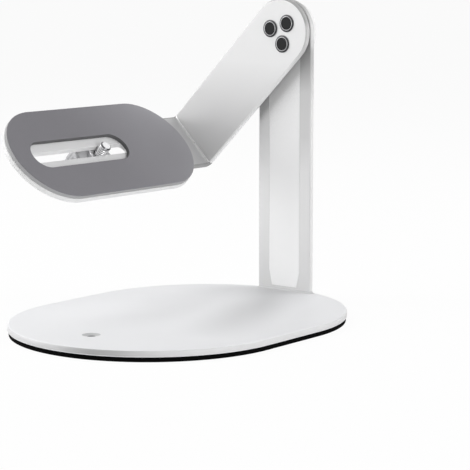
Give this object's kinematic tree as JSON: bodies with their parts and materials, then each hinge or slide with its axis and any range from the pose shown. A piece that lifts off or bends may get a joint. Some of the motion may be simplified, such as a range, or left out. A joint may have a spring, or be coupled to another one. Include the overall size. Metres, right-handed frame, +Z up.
{
  "type": "tabletop projector stand",
  "caption": "White tabletop projector stand: obround base on an anti-slip mat, upright with a friction-hub arm bent into a slotted, padded tray with a thumb screw.",
  "frame": {"origin": "under the middle of the base, on the underside of the anti-slip mat", "axes": "+Z up, -Y from the upright towards the tray's open end, base's long side along Y"},
  "size_m": [0.1677, 0.2059, 0.1754],
  "materials": {
    "white_enamel": "white powder coat, satin",
    "black_rubber": "matt black anti-slip mat",
    "grey_silicone": "matt grey silicone",
    "black_nylon": "matt",
    "black_cap": "fine matt",
    "polished_steel": "bright plated",
    "knob_aluminium": "satin turned"
  },
  "bodies": {
    "stand": {"base_plate": "white_enamel", "anti_slip_mat": "black_rubber", "upright": "white_enamel"},
    "arm": {"arm_and_tray": "white_enamel", "tray_pad": "grey_silicone", "front_friction_washer": "black_nylon", "back_friction_washer": "black_nylon", "pivot_bush": "polished_steel", "back_disc": "white_enamel", "bolt_1": "polished_steel", "bolt_cap_1": "black_cap", "bolt_nut_1": "polished_steel", "bolt_2": "polished_steel", "bolt_cap_2": "black_cap", "bolt_nut_2": "polished_steel", "bolt_3": "polished_steel", "bolt_cap_3": "black_cap", "bolt_nut_3": "polished_steel"},
    "screw_slider": {"slide_washer": "polished_steel"},
    "thumb_screw": {"screw_stud": "polished_steel", "thumb_knob": "knob_aluminium"}
  },
  "joints": [
    {"name": "arm_tilt", "type": "hinge", "parent": "stand", "child": "arm", "pos_m": [0, 0.0934, 0.1562], "axis": [0, 1, 0], "continuous": true},
    {"name": "screw_slide", "type": "slide", "parent": "arm", "child": "screw_slider", "axis": [0, -1, 0], "range_m": [-0.0145, 0.053]},
    {"name": "screw_turn", "type": "hinge", "parent": "screw_slider", "child": "thumb_screw", "pos_m": [-0.06576, 0.0101, 0.09044], "axis": [0.7071, 0, 0.7071], "continuous": true}
  ]
}
